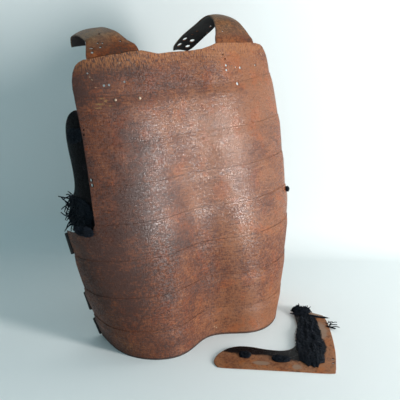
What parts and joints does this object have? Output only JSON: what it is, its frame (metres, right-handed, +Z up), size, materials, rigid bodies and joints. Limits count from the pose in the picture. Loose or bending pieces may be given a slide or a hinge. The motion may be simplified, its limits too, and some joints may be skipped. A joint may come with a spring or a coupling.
{
  "type": "back plate of a japanese riveted-lame iron cuirass",
  "caption": "Russet iron back plate of a Japanese cuirass: overlapping horizontal lames, two shoulder straps, side hinges, a laced underarm plate and its loose mate.",
  "frame": {"origin": "on the underside of the bottom rim, at the middle of its wall, in the back plate's plane of symmetry", "axes": "+Z up; the wearer faces +Y, so the back of the plate faces -Y; +X is the wearer's right"},
  "size_m": [0.3766, 0.4211, 0.4433],
  "materials": {
    "russet_iron": "russet patinated iron, satin",
    "black_lacquered_iron": "black lacquered iron with rust at the edges",
    "black_iron": "blackened iron",
    "navy_lacing": "matted dark navy lacing"
  },
  "bodies": {
    "root": {"lame_1_neck": "russet_iron", "lame_2": "russet_iron", "lame_3": "russet_iron", "lame_4": "russet_iron", "lame_5_side": "russet_iron", "lame_6_side": "russet_iron", "lame_7_side": "russet_iron", "lame_8_rim": "russet_iron", "strap_left": "russet_iron", "strap_right": "russet_iron", "underarm_plate_left": "black_lacquered_iron", "underarm_plate_loose": "black_lacquered_iron", "hinge_upper": "black_iron", "hinge_middle": "black_iron", "hinge_lower": "black_iron", "lace_binding_left": "navy_lacing", "lace_tie_left": "navy_lacing", "lace_knob_right": "navy_lacing", "lace_mat_loose": "navy_lacing", "lace_cord_loose": "navy_lacing", "lace_knot_end_loose": "navy_lacing", "lace_knot_tip_loose": "navy_lacing", "lace_knot_mid_loose": "navy_lacing", "lace_end_loose": "navy_lacing", "lace_fringe_left": "navy_lacing"}
  },
  "joints": []
}
